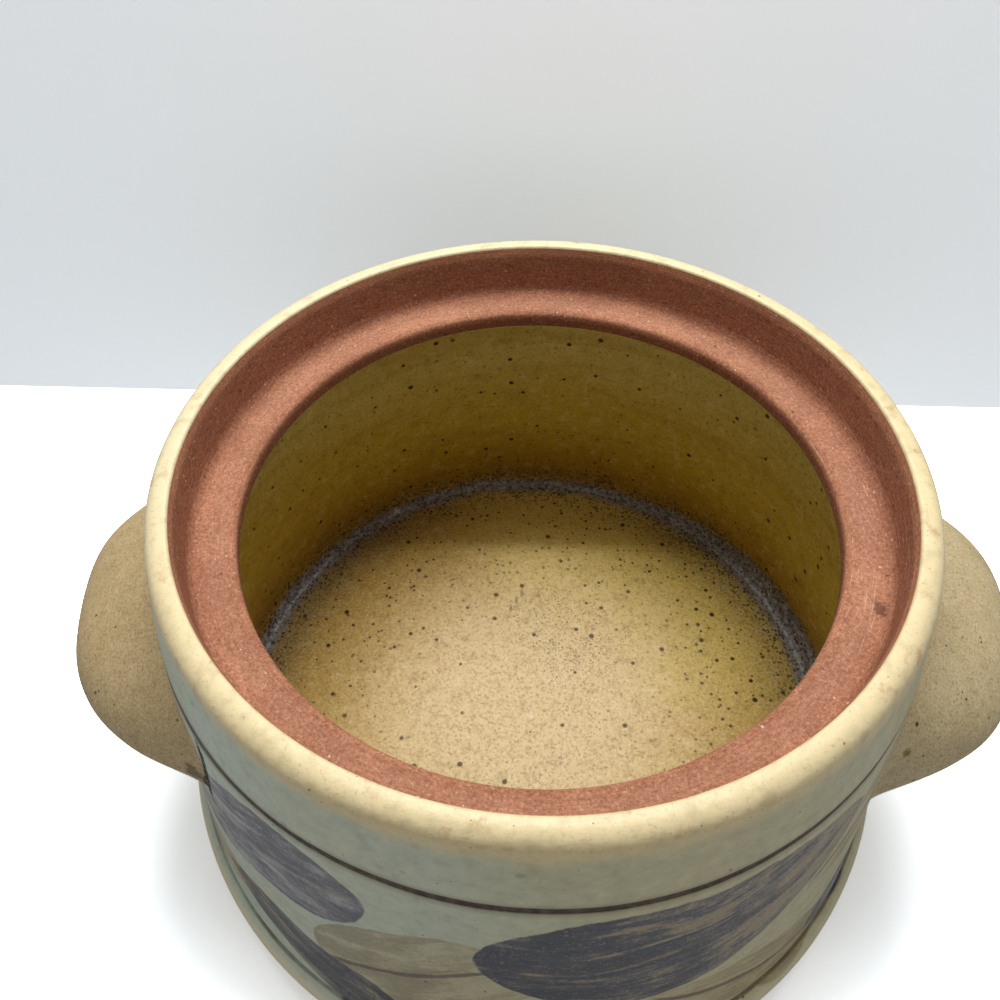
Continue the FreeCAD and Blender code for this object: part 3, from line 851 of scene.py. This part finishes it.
def makeWall():
    inside = roundedLine([
        (footRadius, wallShape["footHeight"]),
        (floorRadius, wallShape["footHeight"]),
        (floorRadius, floorZ),
        (innerWall(floorZ), floorZ, wallShape["corner"]),
        (liningRadius, lineZ),
    ])[1:]
    outside, steps = [], wallShape["lineSteps"]
    for k in range(steps + 1):  # the turned line fades out down the wall
        z = lineZ - wallShape["lineHeight"] * k / steps
        outside.append(Vector((outerWall(z) - wallShape["lineGroove"] * (1 - k / steps), z)))
    rollTop = wallShape["rollTop"]
    grooveTop = rollTop + wallShape["baseGrooveHeight"]
    outside.append(Vector((outerWall(grooveTop), grooveTop)))
    outside.append(Vector((outerWall(rollTop) - wallShape["baseGroove"], rollTop)))
    upper = bellyArc(outerWall(rollTop), rollTop)[::-1]
    lower = bellyArc(footRadius, wallShape["footHeight"])

    def pick(p):
        middle = (innerWall(p.z) + outerWall(p.z)) / 2
        inner = math.hypot(p.x, p.y) < middle and p.z > floorZ - 0.5
        return 1 if inner else 2 if p.z < wallShape["footHeight"] + 0.01 else 0

    return spin("potWall", inside + outside + upper[1:] + lower[1:], [oatmeal, mustard, clay], pick)


floorShape = {"dish": 0.7, "steps": 40}  # the floor sinks by the dish at its middle, mm


def makeFloor():
    line = [Vector((0, wallShape["footHeight"])), Vector((floorRadius, wallShape["footHeight"]))]
    for k in range(floorShape["steps"] + 1):
        share = 1 - k / floorShape["steps"]
        line.append(Vector((floorRadius * share, floorZ - floorShape["dish"] * (1 - share ** 2))))
    return spin("potFloor", line, [clay, mustard], lambda p: 1 if p.z > floorZ - 2 else 0, longest=4)


footShape = {"width": 11.0, "taper": 1.6, "round": 0.8}


def makeFoot():
    inside = footRadius - footShape["width"]
    return spin("footRing", roundedLine([
        (inside, wallShape["footHeight"]),
        (footRadius, wallShape["footHeight"]),
        (footRadius - footShape["taper"], 0, footShape["round"]),
        (inside + footShape["taper"], 0, footShape["round"]),
    ]), [clay])


lugShape = {
    "reach": 25.1, "frontAngle": 34.2, "backAngle": 20.5, "forward": 5.0, "fullness": 1.65,
    "waist": 1.42, "topGap": 1.4, "drop": 20.4, "sag": 5.6, "rim": 7.6, "root": 11.0,
    "luting": 0.5, "bury": 4.0, "overrun": 1.12, "pinch": 0.25, "pinchSize": 16.0,
    "shoulder": (0.22, 0.5), "brow": 0.35, "cheek": 0.25, "vault": (0.05, 0.6),  # shares of drop and reach
    "backSteps": 26, "lipSteps": 12, "underSteps": 22,
    "grown": {"lugLeft": -0.4, "lugRight": 1.4},  # the right lug came out a little larger, mm
}


def cubic(poles, steps):
    a, b, c, d = (Vector(p) for p in poles)
    return [a * (1 - t) ** 3 + b * 3 * t * (1 - t) ** 2 + c * 3 * t * t * (1 - t) + d * t ** 3
            for t in (k / steps for k in range(steps + 1))]


def lugSection(share, fullReach):
    # (r, z) points round an upright slice of a lug, at a share of the way from its middle to a tip
    s = lugShape
    swell = math.cos(math.radians(90 * abs(share) ** s["fullness"]))
    reach = fullReach * math.copysign(abs(swell) ** s["waist"], swell)
    hollow = reach - s["rim"]
    topZ = lineZ - s["topGap"] - s["sag"] * share ** 2
    rimZ = topZ - s["drop"]
    rootZ = topZ - s["root"]

    def on(z, out):
        return outerWall(z) + out, z

    (shoulderDrop, shoulderOut), (vaultDrop, vaultOut) = s["shoulder"], s["vault"]
    back = cubic([on(topZ, -s["luting"]), on(topZ - shoulderDrop * s["drop"], shoulderOut * reach),
                  on(rimZ + s["brow"] * s["drop"], reach), on(rimZ, reach)], s["backSteps"])
    middle = Vector(((back[-1].x + on(rimZ, hollow)[0]) / 2, rimZ))
    lip = [middle + Vector((math.cos(a), -math.sin(a))) * (s["rim"] / 2)
           for a in (math.pi * k / s["lipSteps"] for k in range(1, s["lipSteps"]))]
    under = cubic([on(rimZ, hollow), on(rimZ + s["cheek"] * s["drop"], hollow),
                   on(rootZ - vaultDrop * s["drop"], vaultOut * hollow), on(rootZ, -s["bury"])],
                  s["underSteps"])
    return back + lip + under + [Vector(on(topZ, -s["bury"]))]


def makeLug(name, side, across=128):
    verts, faces = [], []
    for i in range(across + 1):
        share = (2 * i / across - 1) * lugShape["overrun"]
        swing = lugShape["backAngle"] if share > 0 else lugShape["frontAngle"]
        heading = math.radians(share * swing - lugShape["forward"])
        ring = lugSection(share, lugShape["reach"] + lugShape["grown"][name])
        count = len(ring)
        for r, z in ring:
            r = max(r, outerWall(z) - lugShape["bury"])  # never through to the inside of the wall
            x, y = side * r * math.cos(heading), r * math.sin(heading)
            dent = noise.noise(Vector((x, y, z)) / lugShape["pinchSize"])
            out = wobble(x, y, z) + lugShape["pinch"] * dent
            verts.append((x + out * x / r, y + out * y / r, z))
    for i in range(across):
        for k in range(count):
            a, b = i * count + k, i * count + (k + 1) % count
            faces.append([a, b, b + count, a + count])
    faces += [list(range(count)), list(range(across * count, (across + 1) * count))]
    return addPiece(name, verts, faces, [tan], None, sharp=50)


for piece, node, slot in (
    (makeRim(), "rim_band", "glaze"),
    (makeSeat(), "lid_seat", "bare_clay"),
    (makeWall(), "wall", "glaze"),
    (makeFloor(), "floor", "glaze"),
    (makeFoot(), "foot_ring", "bare_clay"),
    (makeLug("lugLeft", -1), "handle_left", "matte_glaze"),
    (makeLug("lugRight", 1), "handle_right", "matte_glaze"),
):
    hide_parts(node)
print("pot thrown")


# a white table with a pale wall close behind it, which is clear when it is seen from behind
studio = {
    "table": 2.6, "tableBounce": 0.62, "wall": 1.58, "wallBounce": 0.6, "coolness": 1.03,
    "wallFrom": (-1200.0, 188.0), "wallTo": (1200.0, 146.0), "wallHeight": 700.0, "tableSide": 4000.0,
    "sky": "#f0f1f2", "fill": 0.36, "horizon": 0.47, "fillFrom": 0.7,
}
# size and place in mm, where it points, watts
lamps = {
    "strip": ((340.0, 20.0), (0.0, 112.0, 520.0), (0.0, 0.0, 20.0), 0.85),
    "softBehind": ((460.0, 400.0), (15.0, 237.0, 750.0), (0.0, 0.0, 100.0), 3.1),
}


def addStage(name, corners, seenTone, bounceTone, oneSided=False):
    # the camera sees one tone and the pot is lit by the other
    mesh = bpy.data.meshes.new(name)
    mesh.from_pydata([Vector(c) * mm for c in corners], [], [list(range(len(corners)))])
    sheet = bpy.data.objects.new(name, mesh)
    bpy.context.collection.objects.link(sheet)
    material, w = newMaterial(name)
    seen = w.add("ShaderNodeLightPath", out=0)
    tone = w.ramp(seen, 0, 1, bounceTone, seenTone, soft=False)
    cool = studio["coolness"]
    tone = w.join(w.sum("DIVIDE", tone, cool), tone, w.times(tone, cool))
    shade = w.add("ShaderNodeBsdfDiffuse", (tone,))
    if oneSided:
        behind = w.add("ShaderNodeNewGeometry", out=6)
        shade = w.add("ShaderNodeMixShader", (behind, shade, w.add("ShaderNodeBsdfTransparent")))
        sheet.visible_shadow = False
    w.add("ShaderNodeOutputMaterial", (shade,), out=None)
    mesh.materials.append(material)


side = studio["tableSide"]
addStage("table", [(-side, -side, 0), (side, -side, 0), (side, side, 0), (-side, side, 0)],
         studio["table"], studio["tableBounce"])
(ax, ay), (bx, by), top = studio["wallFrom"], studio["wallTo"], studio["wallHeight"]
addStage("backWall", [(ax, ay, 0), (bx, by, 0), (bx, by, top), (ax, ay, top)],
         studio["wall"], studio["wallBounce"], oneSided=True)

for name, (size, place, aim, power) in lamps.items():
    lamp = bpy.data.objects.new(name, bpy.data.lights.new(name, "AREA"))
    lamp.data.shape = "RECTANGLE"
    lamp.data.size, lamp.data.size_y = (s * mm for s in size)
    lamp.data.energy = power
    lamp.location = Vector(place) * mm
    lamp.rotation_euler = (Vector(aim) - Vector(place)).to_track_quat("-Z", "Y").to_euler()
    bpy.context.collection.objects.link(lamp)

world = bpy.data.worlds.new("studio")
bpy.context.scene.world = world
world.use_nodes = True
world.node_tree.nodes.clear()
w = Wires(world.node_tree)
seen = w.add("ShaderNodeLightPath", out=0)
up = w.part(w.add("ShaderNodeTexCoord", out=0))[2]
strength = w.ramp(up, 0.0, studio["fillFrom"], studio["horizon"], studio["fill"])
light = w.add("ShaderNodeBackground", (paint(studio["sky"]), strength))
sight = w.add("ShaderNodeBackground", (paint(studio["sky"]), 1.0))
w.add("ShaderNodeOutputWorld", (w.add("ShaderNodeMixShader", (seen, light, sight)),), out=None)
bpy.context.scene.view_settings.view_transform = "Standard"
print("studio lit")
